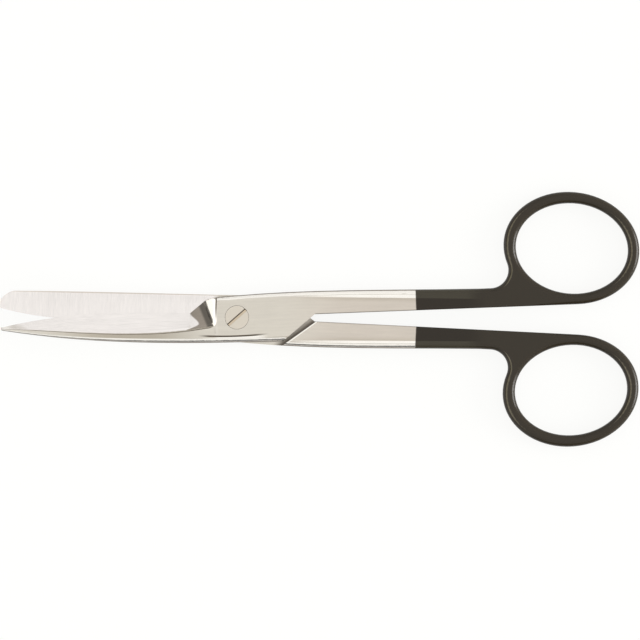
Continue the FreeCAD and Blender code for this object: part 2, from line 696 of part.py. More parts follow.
def pivot_heights():
    """Heights over the table of the screw's shoulder, the top of its neck, the foot of its rim and its top."""
    top = size("layer") * 2 + size("lap_gap")
    shoulder = size("layer") + size("turning_clearance")
    neck_top = size("layer") + size("lap_gap") + size("neck_height")
    return shoulder, neck_top, top - size("head_height"), top


def screw():
    """The flush pivot screw: head, cone and neck in the upper half, thread in the lower one."""
    shoulder, neck_top, rim_foot, top = pivot_heights()
    head, neck, thread = size("head_radius"), size("neck_radius"), size("thread_radius")
    zero = as_size(0)
    profile = [(zero, zero), (thread, zero), (thread, shoulder), (neck, shoulder), (neck, neck_top),
               (head, rim_foot), (head, top), (zero, top)]
    body = turned("screw_blank", profile)
    slot = doc.addObject("Part::Box", "slot")
    slot.setExpression("Length", (head * 3).text)
    slot.setExpression("Width", size("slot_width").text)
    slot.setExpression("Height", (size("slot_depth") * 2).text)
    across = math.radians(size("slot_angle").value)
    back = FreeCAD.Vector(-1.5 * head.value, -0.5 * size("slot_width").value, 0)
    turn = FreeCAD.Rotation(FreeCAD.Vector(0, 0, 1), math.degrees(across))
    slot.Placement = FreeCAD.Placement(FreeCAD.Vector(0, 0, (top - size("slot_depth")).value) + turn.multVec(back), turn)
    doc.recompute()
    return cut("pivot_screw", body, slot)


def seat(half):
    """The hole for the screw: a countersink that turns on it, or the tapped hole that holds it."""
    shoulder, neck_top, rim_foot, top = pivot_heights()
    middle = size("layer") + size("lap_gap") / 2
    zero = as_size(0)
    if half.name == "blunt":
        bore = size("thread_radius") + size("thread_clearance")
        profile = [(zero, -half.outer * 2), (bore, -half.outer * 2), (bore, half.outer * 2), (zero, half.outer * 2)]
        return turned("tapped_hole", profile)
    gap = size("turning_clearance")
    neck, head = size("neck_radius") + gap, size("head_radius") + gap
    low = -size("layer")
    high = top - middle + size("layer")
    profile = [(zero, low), (neck, low), (neck, neck_top - gap - middle), (head, rim_foot - gap - middle),
               (head, high), (zero, high)]
    return turned("countersink", profile)


def finished(half, label):
    """One half, rounded, ground inside and out, and bored, set where it rests."""
    shape = rounded(half, blank(half))
    shape = cut(half.name + "_outer_ground", shape, grinding(half))
    shape = cut(half.name + "_inner_ground", shape, hollowing(half))
    shape = cut(half.name + "_nosed", shape, nosing(half))
    shape = cut(half.name + "_flared", shape, flaring(half))
    shape = cut(label, shape, seat(half))
    upright = FreeCAD.Rotation() if half.name == "sharp" else FreeCAD.Rotation(FreeCAD.Vector(1, 0, 0), 180)
    angle = size("rest_angle").value if half.name == "sharp" else -size("rest_angle").value
    middle = (size("layer") + size("lap_gap") / 2).value
    opened = FreeCAD.Rotation(FreeCAD.Vector(0, 0, 1), angle)
    shape.Placement = FreeCAD.Placement(FreeCAD.Vector(0, 0, middle), opened.multiply(upright))
    doc.recompute()
    return shape


def check_and_write(parts):
    for item in doc.Objects:
        if "Invalid" in item.State or "Error" in item.State:
            raise RuntimeError("%s failed: %s" % (item.Name, item.State))
    os.makedirs("parts", exist_ok=True)
    for part in parts:
        if part.Shape.isNull() or not part.Shape.isValid() or len(part.Shape.Solids) != 1:
            raise RuntimeError("%s has no single valid solid" % part.Label)
        part.Shape.exportStep("parts/%s.step" % part.Label)
        print(part.Label, round(part.Shape.Volume, 2), part.Shape.BoundBox)


check_and_write([finished(Half("sharp", 1), "sharp_half"), finished(Half("blunt", -1), "blunt_half"), screw()])
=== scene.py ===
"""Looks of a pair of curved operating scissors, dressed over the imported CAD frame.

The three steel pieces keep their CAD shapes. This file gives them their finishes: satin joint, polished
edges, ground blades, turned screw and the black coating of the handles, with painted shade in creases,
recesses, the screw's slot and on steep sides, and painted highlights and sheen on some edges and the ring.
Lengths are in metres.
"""

import logging
import math
from dataclasses import dataclass
from enum import Enum
from typing import ClassVar

import bpy
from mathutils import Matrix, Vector

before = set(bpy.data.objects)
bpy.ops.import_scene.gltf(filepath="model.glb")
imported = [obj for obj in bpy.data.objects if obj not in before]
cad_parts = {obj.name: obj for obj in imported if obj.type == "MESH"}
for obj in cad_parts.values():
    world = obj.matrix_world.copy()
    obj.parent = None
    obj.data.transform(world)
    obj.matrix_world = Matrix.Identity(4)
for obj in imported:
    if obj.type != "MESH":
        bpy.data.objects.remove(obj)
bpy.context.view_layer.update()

LOG = logging.getLogger("operating_scissors")
MM = 0.001

Colour = tuple[float, float, float]
Range = tuple[float, float]
Socket = bpy.types.NodeSocket


class Blade(Enum):
    """Which half a finish is for, with the turn in degrees from its resting place back to closed."""

    SHARP = -2.5
    BLUNT = 2.5


def tone(red: int, green: int, blue: int) -> Colour:
    """Turn a display colour of 0 to 255 into linear light.

    Args:
        red: Red as displayed.
        green: Green as displayed.
        blue: Blue as displayed.

    Returns:
        The same colour in linear light, from 0 to 1.
    """
    shares = (value / 255 for value in (red, green, blue))
    return tuple(((s + 0.055) / 1.055) ** 2.4 if s > 0.04045 else s / 12.92 for s in shares)


@dataclass(frozen=True)
class SteelFinish:
    """One finish of bare steel: its colour, its gloss and how strongly its marks show."""

    colour: Colour
    roughness: float
    marks: float


@dataclass(frozen=True)
class CoatFinish:
    """The black coating: colours, painted sheen, its gloss, how far it mirrors, and where it starts along the
    shank.
    """

    colour: Colour = tone(32, 24, 11)
    # Painted sheen: the ring lighter than the shank's coat, and the coat's edges lighter still.
    ring_sheen_colour: Colour = tone(42, 35, 23)
    edge_sheen_colour: Colour = tone(54, 49, 37)
    # Painted highlights on the ring's sides.
    gleam_colour: Colour = tone(104, 97, 80)
    roughness: float = 0.24
    mirror: float = 0.32
    start: float = 39.4 * MM
    softness: float = 0.12 * MM


@dataclass(frozen=True)
class HalfFinish:
    """All finishes of one scissor half."""

    satin: SteelFinish = SteelFinish(tone(208, 202, 191), 0.34, 0.10)
    shank: SteelFinish = SteelFinish(tone(202, 193, 182), 0.34, 0.10)
    # Painted shade on the flat face beside the polished band of the shank.
    burnished: SteelFinish = SteelFinish(tone(189, 180, 167), 0.30, 0.06)
    polished: SteelFinish = SteelFinish(tone(243, 239, 232), 0.12, 0.03)
    ground: SteelFinish = SteelFinish(tone(233, 228, 225), 0.22, 0.11)
    rim: SteelFinish = SteelFinish(tone(178, 170, 156), 0.30, 0.08)
    # Painted shade on the steep sides of the steel.
    side: SteelFinish = SteelFinish(tone(118, 108, 98), 0.30, 0.05)
    # Painted shade in the blade's crease and on its steep wall.
    crease: SteelFinish = SteelFinish(tone(176, 168, 154), 0.30, 0.05)
    # Painted shade on the scoop behind the upper blade's ground face.
    scoop: SteelFinish = SteelFinish(tone(148, 139, 129), 0.26, 0.08)
    # Darker painted shade along the base of the scoop's wall.
    foot: SteelFinish = SteelFinish(tone(98, 93, 86), 0.26, 0.08)
    # Painted shade in the gap before the lower half's shoulder.
    lap: SteelFinish = SteelFinish(tone(104, 97, 88), 0.38, 0.12)
    spine: SteelFinish = SteelFinish(tone(204, 195, 185), 0.30, 0.06)
    # Painted shade: dark lines along a groove by the joint and along the shoulder's top edge.
    line: SteelFinish = SteelFinish(tone(80, 71, 59), 0.30, 0.05)
    coat: CoatFinish = CoatFinish()


@dataclass(frozen=True)
class Grain:
    """How fine a half's marks and grit are, in features per metre, and how much of them shows.

    Each kind of marks gives its fineness along the half and across it. The middle is the level of the noise
    that leaves a colour as it is.
    """

    cross_marks: Range = (5200.0, 500.0)
    long_marks: Range = (170.0, 2600.0)
    grit: float = 9000.0
    brushed_share: float = 0.6
    middle: float = 0.5
    contrast: float = 0.45
    ground_contrast: float = 0.32
    depth: float = 0.02 * MM


@dataclass(frozen=True)
class FinishZones:
    """Where the finishes of a half meet, along it from the pivot and by how far the surface leans."""

    blade_start: Range = (-4.0 * MM, -5.5 * MM)
    rim_dark: Range = (-6.0 * MM, -20.0 * MM)
    rim_tip: Range = (-28.0 * MM, -44.0 * MM)
    shank_start: Range = (8.0 * MM, 26.0 * MM)
    inner_edge: Range = (9.0 * MM, 12.0 * MM)
    level: Range = (0.985, 0.999)
    steep: Range = (0.74, 0.52)
    ground: Range = (0.76, 0.84)
    rim: Range = (0.10, 0.05)
    crease_low: Range = (0.02, 0.06)
    crease_high: Range = (0.24, 0.14)
    crease_wall: Range = (0.38, 0.50)
    crease_tip: Range = (-52.0 * MM, -46.0 * MM)
    ring_start: Range = (56.0 * MM, 50.0 * MM)
    scoop_floor: Range = (0.84, 0.90)
    lap_height: float = 1.95 * MM
    gleam_low: Range = (-0.13, -0.24)
    gleam_high: Range = (-0.48, -0.34)
    gleam_side: Range = (0.30, 0.14)


@dataclass(frozen=True)
class ScoopZones:
    """Where the scoop behind the upper half's ground face lies, and the painted dark line along the joint's
    lower side.

    The scoop's front runs from the heel back to its crest, and from there forward to the crease. The line is
    a shallow parabola, lowest beside the pivot, whose bend is in 1/m.
    """

    heel_front: float = -10.3 * MM
    crest_front: float = -8.5 * MM
    crease_front: float = -12.0 * MM
    heel_to_crest: Range = (1.4 * MM, -1.1 * MM)
    crest_to_crease: Range = (-1.1 * MM, -2.9 * MM)
    front_softness: Range = (-0.2 * MM, 0.3 * MM)
    wall: Range = (-4.6 * MM, -5.0 * MM)
    crease: Range = (-3.6 * MM, -3.3 * MM)
    shoulder_fade: Range = (-1.5 * MM, 3.0 * MM)
    valley_bend: float = 5.2
    valley_drop: float = 4.10 * MM
    valley_line: Range = (0.24 * MM, 0.10 * MM)
    valley_outside: Range = (-4.15 * MM, -4.25 * MM)
    valley_rear: Range = (7.2 * MM, 3.5 * MM)
    valley_front: Range = (-9.0 * MM, -6.0 * MM)


@dataclass(frozen=True)
class SurfaceLine:
    """A straight line on a closed half, seen from above. Distances count to its left, from start to end."""

    start: Range
    end: Range

    def leftwards(self) -> tuple[float, float]:
        """Vector of length one to the left of the line."""
        along, across = self.end[0] - self.start[0], self.end[1] - self.start[1]
        length = math.hypot(along, across)
        return (-across / length, along / length)


@dataclass(frozen=True)
class Strip:
    """What is finished beside a line: the distances over which it fades in and out.

    The usual end lies past the half's outline.
    """

    line: SurfaceLine
    fade_in: Range
    fade_out: Range = (5.0 * MM, 4.0 * MM)


# Strip of darker painted shade along the base of the scoop's wall.
SCOOP_FOOT = Strip(SurfaceLine((-7.22 * MM, 3.27 * MM), (-5.56 * MM, -1.21 * MM)),
                   (0.25 * MM, 0.0), (-1.5 * MM, -0.8 * MM))
# Painted dark line along the top of the upper half's shoulder.
SHOULDER_TOP = Strip(SurfaceLine((-4.40 * MM, 3.6 * MM), (-4.66 * MM, -0.4 * MM)),
                     (0.16 * MM, 0.04 * MM), (-0.26 * MM, -0.10 * MM))
LAP_SHOULDER = SurfaceLine((11.13 * MM, -5.15 * MM), (17.2 * MM, -0.28 * MM))
LAP_SHADE = Strip(LAP_SHOULDER, (1.8 * MM, 0.2 * MM), (-0.5 * MM, 0.0))
# Painted highlight along the top edge of the lower half's shoulder.
LAP_EDGE = Strip(LAP_SHOULDER, (0.10 * MM, -0.02 * MM), (-0.24 * MM, -0.12 * MM))
LOWER_SPINE = Strip(SurfaceLine((-46.0 * MM, 3.38 * MM), (-8.7 * MM, 4.46 * MM)), (-0.08 * MM, 0.04 * MM))
OUTER_SIDES = {
    Blade.SHARP: SurfaceLine((14.0 * MM, 4.0 * MM), (38.2 * MM, 2.80 * MM)),
    Blade.BLUNT: SurfaceLine((38.2 * MM, -3.30 * MM), (14.0 * MM, -4.36 * MM)),
}
BAND_FADE = (-0.06 * MM, 0.06 * MM)
# Where the painted shade beside the polished band fades in and out.
BAND_SHADE_FADES = ((-1.1 * MM, -0.05 * MM), (0.05 * MM, -0.05 * MM))

# From the lowest layer to the one on top: finishes, painted shade and painted highlights.
LAYERS = ("burnished", "polished", "crease", "bright", "ground", "spine", "scoop", "foot", "wall", "rim",
          "lap", "side", "line")
# Masks that show the finish of another, as painted shade or painted highlight.
SHARED_FINISHES = {"wall": "crease", "bright": "polished"}


class Graph:
    """A shader node tree with short calls for placing nodes and joining their sockets."""

    def __init__(self, tree: bpy.types.NodeTree) -> None:
        """Start on a tree.

        Args:
            tree: The node tree that the nodes go into.
        """
        self.tree = tree

    def node(self, kind: str, inputs: dict | None = None, **settings: object) -> bpy.types.Node:
        """Place one node.

        Args:
            kind: The node's type name.
            inputs: Socket name or number to a value or to another node's output.
            settings: Attributes of the node.

        Returns:
            The node.
        """
        made = self.tree.nodes.new(kind)
        for name, value in settings.items():
            setattr(made, name, value)
        for key, value in (inputs or {}).items():
            if isinstance(value, Socket):
                self.tree.links.new(value, made.inputs[key])
            else:
                made.inputs[key].default_value = value
        return made

    def math(self, operation: str, first: object, second: object = 0.0) -> Socket:
        """One step of arithmetic on two values or sockets."""
        return self.node("ShaderNodeMath", {0: first, 1: second}, operation=operation).outputs[0]

    def span(self, value: object, low: float, high: float) -> Socket:
        """How far a value lies between low and high, eased and kept from 0 to 1."""
        made = self.node("ShaderNodeMapRange", {"Value": value, "From Min": low, "From Max": high},
                         interpolation_type="SMOOTHSTEP")
        return made.outputs["Result"]

    def dot(self, vector: Socket, other: object) -> Socket:
        """The dot product of a vector socket and another vector."""
        made = self.node("ShaderNodeVectorMath", {0: vector, 1: other}, operation="DOT_PRODUCT")
        return made.outputs["Value"]

    def times(self, *shares: Socket) -> Socket:
        """Multiply some shares.

        Args:
            shares: One share or more.

        Returns:
            Their product, or the share itself if it is the only one.
        """
        product = shares[0]
        for share in shares[1:]:
            product = self.math("MULTIPLY", product, share)
        return product

    def without(self, *shares: Socket) -> Socket:
        """What the product of some shares leaves."""
        return self.math("SUBTRACT", 1.0, self.times(*shares))

    def blend(self, share: object, first: object, second: object) -> Socket:
        """A value or colour between first and second.

        Args:
            share: 0 gives first, 1 gives second.
            first: A number, a colour or a socket of either.
            second: The same kind as first.

        Returns:
            The blended socket.
        """
        colours = isinstance(second, tuple) or getattr(second, "type", "") in ("RGBA", "VECTOR")
        if not colours:
            made = self.node("ShaderNodeMix", {0: share, 2: first, 3: second}, data_type="FLOAT")
            return made.outputs[0]
        pair = [(*value, 1.0) if isinstance(value, tuple) else value for value in (first, second)]
        made = self.node("ShaderNodeMix", {0: share, 6: pair[0], 7: pair[1]}, data_type="RGBA")
        return made.outputs[2]


def new_material(name: str) -> tuple[bpy.types.Material, Graph]:
    """Make an empty node material.

    Args:
        name: The material's name.

    Returns:
        The material and its graph.
    """
    material = bpy.data.materials.new(name)
    material.use_nodes = True
    material.node_tree.nodes.clear()
    return material, Graph(material.node_tree)


class EffectGroups:
    """The shader groups that more than one material uses, each built once."""

    fine_noise: ClassVar[dict[str, float]] = {"Scale": 1.0, "Detail": 4.0, "Roughness": 0.7}
    broad_noise: ClassVar[dict[str, float]] = {"Scale": 0.22, "Detail": 1.0}
    broad_share: ClassVar[float] = 0.3
    grain_noise: ClassVar[dict[str, float]] = {"Detail": 2.0, "Roughness": 0.6}
    cloud_noise: ClassVar[dict[str, float]] = {"Scale": 90.0, "Detail": 3.0}
    cloud_share: ClassVar[float] = 0.5

    def __init__(self) -> None:
        """Build every group."""
        self.own_place = self._own_place()
        self.marks = self._marks()
        self.grit = self._grit()

    @staticmethod
    def _start(name: str, inputs: dict[str, str],
               outputs: dict[str, str]) -> tuple[Graph, bpy.types.Node, bpy.types.Node]:
        """Make an empty group with its sockets.

        Args:
            name: The group's name.
            inputs: Input name to socket type.
            outputs: Output name to socket type.

        Returns:
            The group's graph, its input node and its output node.
        """
        tree = bpy.data.node_groups.new(name, "ShaderNodeTree")
        for direction, sockets in (("INPUT", inputs), ("OUTPUT", outputs)):
            for socket, kind in sockets.items():
                tree.interface.new_socket(socket, in_out=direction, socket_type="NodeSocket" + kind)
        graph = Graph(tree)
        return graph, graph.node("NodeGroupInput"), graph.node("NodeGroupOutput")

    def _own_place(self) -> bpy.types.NodeTree:
        """Turn a point at rest back into the closed frame of its half."""
        graph, into, out = self._start(
            "own_place", {"Place": "Vector", "Turn": "Float"},
            {"Place": "Vector", "Along": "Float", "Across": "Float", "Height": "Float"})
        turned = graph.node("ShaderNodeVectorRotate", {"Vector": into.outputs["Place"],
                                                       "Angle": into.outputs["Turn"]}, rotation_type="Z_AXIS")
        split = graph.node("ShaderNodeSeparateXYZ", {0: turned.outputs[0]})
        graph.tree.links.new(turned.outputs[0], out.inputs["Place"])
        for source, name in enumerate(("Along", "Across", "Height")):
            graph.tree.links.new(split.outputs[source], out.inputs[name])
        return graph.tree

    def _marks(self) -> bpy.types.NodeTree:
        """Fine parallel marks of a belt, long in the direction whose number is the smaller one."""
        graph, into, out = self._start(
            "grinding_marks", {"Place": "Vector", "Lengthways": "Float", "Sideways": "Float"},
            {"Shade": "Float", "Height": "Float"})
        lengthways, sideways = into.outputs["Lengthways"], into.outputs["Sideways"]
        stretch = graph.node("ShaderNodeCombineXYZ", {0: lengthways, 1: sideways, 2: sideways})
        place = graph.node("ShaderNodeVectorMath", {0: into.outputs["Place"], 1: stretch.outputs[0]},
                           operation="MULTIPLY")
        fine = graph.node("ShaderNodeTexNoise", {"Vector": place.outputs[0], **self.fine_noise})
        broad = graph.node("ShaderNodeTexNoise", {"Vector": place.outputs[0], **self.broad_noise})
        shade = graph.blend(self.broad_share, fine.outputs[0], broad.outputs[0])
        graph.tree.links.new(shade, out.inputs["Shade"])
        graph.tree.links.new(fine.outputs[0], out.inputs["Height"])
        return graph.tree

    def _grit(self) -> bpy.types.NodeTree:
        """The fine even grain of a satin or coated surface, with faint clouds of handling."""
        graph, into, out = self._start(
            "grit", {"Place": "Vector", "Grain": "Float"}, {"Shade": "Float", "Height": "Float"})
        place = into.outputs["Place"]
        grain = graph.node("ShaderNodeTexNoise", {"Vector": place, "Scale": into.outputs["Grain"],
                                                  **self.grain_noise})
        clouds = graph.node("ShaderNodeTexNoise", {"Vector": place, **self.cloud_noise})
        shade = graph.blend(self.cloud_share, grain.outputs[0], clouds.outputs[0])
        graph.tree.links.new(shade, out.inputs["Shade"])
        graph.tree.links.new(grain.outputs[0], out.inputs["Height"])
        return graph.tree


class HalfDressing:
    """Dresses one scissor half: which finish shows where, from the surface's own place and slope."""

    def __init__(self, node: str, blade: Blade, finish: HalfFinish, effects: EffectGroups) -> None:
        """Start the half's material.

        Args:
            node: The CAD node.
            blade: Which half this is.
            finish: Its finishes.
            effects: The shared shader groups.
        """
        self.node = node
        self.blade = blade
        self.upper = blade is Blade.SHARP
        self.finish = finish
        self.zones = FinishZones()
        self.grain = Grain()
        self.material, self.graph = new_material(node + "_steel")
        coordinates = self.graph.node("ShaderNodeTexCoord")
        own = self._effect(effects.own_place, coordinates.outputs["Object"],
                           {"Turn": math.radians(blade.value)})
        self.place, self.along, self.across, self.height = own.outputs
        self.cross_marks, self.long_marks = (
            self._effect(effects.marks, self.place, {"Lengthways": fineness[0], "Sideways": fineness[1]})
            for fineness in (self.grain.cross_marks, self.grain.long_marks))
        self.grit = self._effect(effects.grit, self.place, {"Grain": self.grain.grit})
        normal = self.graph.node("ShaderNodeSeparateXYZ", {0: coordinates.outputs["Normal"]})
        self.lengthways, self.sideways, self.upright = normal.outputs
        self.slope = self.graph.math("ABSOLUTE", self.upright)
        self.lean = self.graph.math("ABSOLUTE", self.sideways)
        self.outside = self._on_side(self.upright, above=self.upper)
        self.towards_spine = self._on_side(self.sideways, above=not self.upper)

    def _effect(self, group: bpy.types.NodeTree, place: Socket, values: dict[str, float]) -> bpy.types.Node:
        """Place an effect group on the surface.

        Args:
            group: The effect.
            place: The socket that feeds its Place.
            values: Its other inputs.

        Returns:
            The group's node.
        """
        return self.graph.node("ShaderNodeGroup", {"Place": place, **values}, node_tree=group)

    def _on_side(self, value: Socket, above: bool) -> Socket:
        """1 where a value is above zero, or below it."""
        return self.graph.math("GREATER_THAN" if above else "LESS_THAN", value, 0.0)

    def _beside(self, strip: Strip) -> Socket:
        """Find what lies in the strip beside a line.

        Args:
            strip: The line, with the distances over which the strip fades in and out.

        Returns:
            Share of the surface in the strip.
        """
        along, across = strip.line.leftwards()
        offset = -(strip.line.start[0] * along + strip.line.start[1] * across)
        distance = self.graph.math("ADD", self.graph.dot(self.place, (along, across, 0.0)), offset)
        return self.graph.times(self.graph.span(distance, *strip.fade_in),
                                self.graph.span(distance, *strip.fade_out))

    def _masks(self) -> dict[str, Socket]:
        """Share of each finish on the surface.

        Returns:
            Finish name to its mask.
        """
        graph, zones, coat = self.graph, self.zones, self.finish.coat
        blade = graph.span(self.along, *zones.blade_start)
        rim = graph.times(blade, self.outside, graph.span(self.lean, *zones.rim),
                          graph.span(self.slope, *zones.ground))
        masks = {
            "shank": graph.span(self.along, *zones.shank_start),
            "before_ring": graph.span(self.along, *zones.ring_start),
            # Steep surfaces take the painted shade of the sides.
            "side": graph.span(self.slope, *zones.steep),
            "coat": graph.span(self.along, coat.start - coat.softness, coat.start + coat.softness),
        }
        masks |= self._edge_masks(masks["shank"], masks["before_ring"])
        masks |= self._blade_masks(blade, rim)
        masks |= self._scoop_masks(rim) if self.upper else self._lap_masks(blade)
        # Painted highlight lines on the ring where it leans a little towards -X.
        masks["gleam"] = graph.times(
            graph.span(self.lengthways, *zones.gleam_low), graph.span(self.lengthways, *zones.gleam_high),
            graph.span(self.lean, *zones.gleam_side), self._on_side(self.upright, above=True),
            graph.without(masks["before_ring"]))
        return masks

    def _edge_masks(self, shank: Socket, before_ring: Socket) -> dict[str, Socket]:
        """Shares of the polished outer side of the shank and of the painted shade on the flat strip beside
        it.

        Args:
            shank: Share of the shank, which fades in behind the joint.
            before_ring: Share of what lies in front of the ring.

        Returns:
            Finish name to its mask.
        """
        graph, zones, side = self.graph, self.zones, OUTER_SIDES[self.blade]
        band = graph.times(self._beside(Strip(side, BAND_FADE)), shank, before_ring)
        bevel = graph.times(graph.without(graph.span(self.slope, *zones.level)),
                            graph.without(graph.span(self.along, *zones.inner_edge), self.towards_spine))
        # Painted shade on the flat strip beside the polished band.
        burnished = graph.times(self._beside(Strip(side, *BAND_SHADE_FADES)), shank,
                                graph.span(self.slope, *zones.level))
        return {"polished": graph.math("MAXIMUM", bevel, band), "burnished": burnished}

    def _blade_masks(self, blade: Socket, rim: Socket) -> dict[str, Socket]:
        """Shares of the finishes on the blade.

        Args:
            blade: Share of the blade.
            rim: Share of the flat rim between the crease and the spine.

        Returns:
            Finish name to its mask.
        """
        graph, zones = self.graph, self.zones
        off_rounding = graph.without(self.outside, self.towards_spine)
        return {
            "rim": rim,
            "rim_dark": graph.span(self.along, *zones.rim_dark),
            "rim_tip": graph.span(self.along, *zones.rim_tip),
            "ground": graph.times(blade, graph.span(self.slope, *zones.ground), graph.without(rim),
                                  off_rounding),
            # Painted shade in the crease and on its wall.
            "crease": graph.times(graph.span(self.lean, *zones.crease_low),
                                  graph.span(self.lean, *zones.crease_high),
                                  graph.without(blade, off_rounding)),
            "wall": graph.times(blade, self.outside, graph.without(self.towards_spine),
                                graph.span(self.lean, *zones.crease_wall),
                                graph.span(self.along, *zones.crease_tip)),
        }

    def _lap_masks(self, blade: Socket) -> dict[str, Socket]:
        """Shares of painted shade before the lower shoulder, painted highlight on its edge, and the spine
        line.

        Args:
            blade: Share of the blade.

        Returns:
            Finish name to its mask.
        """
        graph, zones = self.graph, self.zones
        face = graph.math("GREATER_THAN", self.upright, zones.steep[0])
        behind_joint = graph.math("GREATER_THAN", self.along, zones.inner_edge[0])
        above = graph.math("GREATER_THAN", self.height, zones.lap_height)
        below = graph.math("LESS_THAN", self.height, zones.lap_height)
        return {
            "lap": graph.times(below, face, self._beside(LAP_SHADE)),
            # Painted highlight along the shoulder's top edge.
            "bright": graph.times(above, face, behind_joint, self._beside(LAP_EDGE)),
            "spine": graph.times(blade, face, self._beside(LOWER_SPINE)),
        }

    def _scoop_masks(self, rim: Socket) -> dict[str, Socket]:
        """Shares of painted shade on the scoop behind the upper half's ground face, and of painted lines
        around it.

        Args:
            rim: Share of the blade's rim.

        Returns:
            Finish name to its mask.
        """
        graph, scoop = self.graph, ScoopZones()
        to_crest = graph.span(self.across, *scoop.heel_to_crest)
        to_crease = graph.span(self.across, *scoop.crest_to_crease)
        front = graph.blend(to_crest, scoop.heel_front, scoop.crest_front)
        front = graph.blend(to_crease, front, scoop.crease_front)
        behind = graph.span(graph.math("SUBTRACT", self.along, front), *scoop.front_softness)
        floor = graph.times(behind, graph.span(self.slope, *self.zones.scoop_floor), self.outside,
                            graph.without(rim), graph.span(self.along, *scoop.wall),
                            graph.span(self.across, *scoop.crease))
        reach = graph.times(self.outside, graph.span(self.along, *scoop.valley_rear),
                            graph.span(self.along, *scoop.valley_front))
        valley = graph.math("MULTIPLY", graph.math("MULTIPLY", self.along, self.along), scoop.valley_bend)
        level = graph.math("SUBTRACT", self.across, valley)
        drop = graph.math("ABSOLUTE", graph.math("ADD", level, scoop.valley_drop))
        # Painted dark lines along the shallow groove by the joint's lower side and along the shoulder's top.
        line = graph.times(graph.span(drop, *scoop.valley_line), reach)
        edge = graph.times(self._beside(SHOULDER_TOP), self.outside,
                           graph.span(self.across, *scoop.shoulder_fade))
        return {
            # Polished strip beyond the dark line, bright as a painted highlight towards the joint's edge.
            "bright": graph.times(graph.span(level, *scoop.valley_outside), reach),
            # The scoop's floor gets painted shade, darker along the base of its wall.
            "scoop": floor,
            "foot": graph.times(floor, self._beside(SCOOP_FOOT)),
            "line": graph.math("MAXIMUM", line, edge),
        }

    def _coat_colour(self, masks: dict[str, Socket]) -> Socket:
        """Colour the coating, with painted sheen on its edges and the ring, and painted highlights on the
        ring.

        Args:
            masks: Share of each finish on the surface.

        Returns:
            The coating's colour.
        """
        graph, coat, before_ring = self.graph, self.finish.coat, masks["before_ring"]
        colour = graph.blend(before_ring, coat.ring_sheen_colour, coat.colour)
        colour = graph.blend(graph.times(masks["polished"], before_ring), colour, coat.edge_sheen_colour)
        return graph.blend(masks["gleam"], colour, coat.gleam_colour)

    def _texture(self, masks: dict[str, Socket], output: str) -> Socket:
        """Mix the marks of a surface: brushed on the ground faces, and marks with grit elsewhere.

        Args:
            masks: Share of each finish on the surface.
            output: Which output of the effects is mixed, Shade or Height.

        Returns:
            The mixed output.
        """
        graph = self.graph
        grit, marks = self.grit.outputs[output], self.long_marks.outputs[output]
        ground = marks if self.upper else self.cross_marks.outputs[output]
        return graph.blend(masks["ground"], graph.blend(self.grain.brushed_share, grit, marks), ground)

    def dress(self) -> None:
        """Give the node its material."""
        graph, finish, grain = self.graph, self.finish, self.grain
        masks = self._masks()
        rim = graph.blend(masks["rim_dark"], finish.satin.colour, finish.rim.colour)
        rim = graph.blend(masks["rim_tip"], rim, finish.satin.colour)
        colour = graph.blend(masks["shank"], finish.satin.colour, finish.shank.colour)
        roughness, strength = finish.satin.roughness, finish.satin.marks
        for name in (layer for layer in LAYERS if layer in masks):
            layer = getattr(finish, SHARED_FINISHES.get(name, name))
            colour = graph.blend(masks[name], colour, rim if name == "rim" else layer.colour)
            roughness = graph.blend(masks[name], roughness, layer.roughness)
            strength = graph.blend(masks[name], strength, layer.marks)
        shade = graph.math("SUBTRACT", self._texture(masks, "Shade"), grain.middle)
        contrast = graph.blend(masks["ground"], grain.contrast, grain.ground_contrast)
        shade = graph.node("ShaderNodeMath", {0: shade, 1: contrast, 2: 1.0},
                           operation="MULTIPLY_ADD").outputs[0]
        colour = graph.node("ShaderNodeVectorMath", {0: colour, "Scale": shade}, operation="SCALE").outputs[0]
        height = graph.blend(masks["coat"], self._texture(masks, "Height"), self.grit.outputs["Height"])
        bump = graph.node("ShaderNodeBump", {"Height": height, "Distance": grain.depth, "Strength": strength})
        shader = graph.node("ShaderNodeBsdfPrincipled", {
            "Base Color": graph.blend(masks["coat"], colour, self._coat_colour(masks)),
            "Roughness": graph.blend(masks["coat"], roughness, finish.coat.roughness),
            "Metallic": graph.blend(masks["coat"], 1.0, 0.0),
            "Specular IOR Level": finish.coat.mirror,
            "Normal": bump.outputs[0],
        })
        graph.node("ShaderNodeOutputMaterial", {"Surface": shader.outputs[0]})
        wear_material(self.node, self.material)


def wear_material(node: str, material: bpy.types.Material) -> None:
    """Put one material on every slot of a CAD node.

    Args:
        node: The CAD node.
        material: What it wears.
    """
    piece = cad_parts[node]
    if not piece.material_slots:
        piece.data.materials.append(material)
    for place in piece.material_slots:
        place.material = material
    LOG.info("%s wears %s", node, material.name)


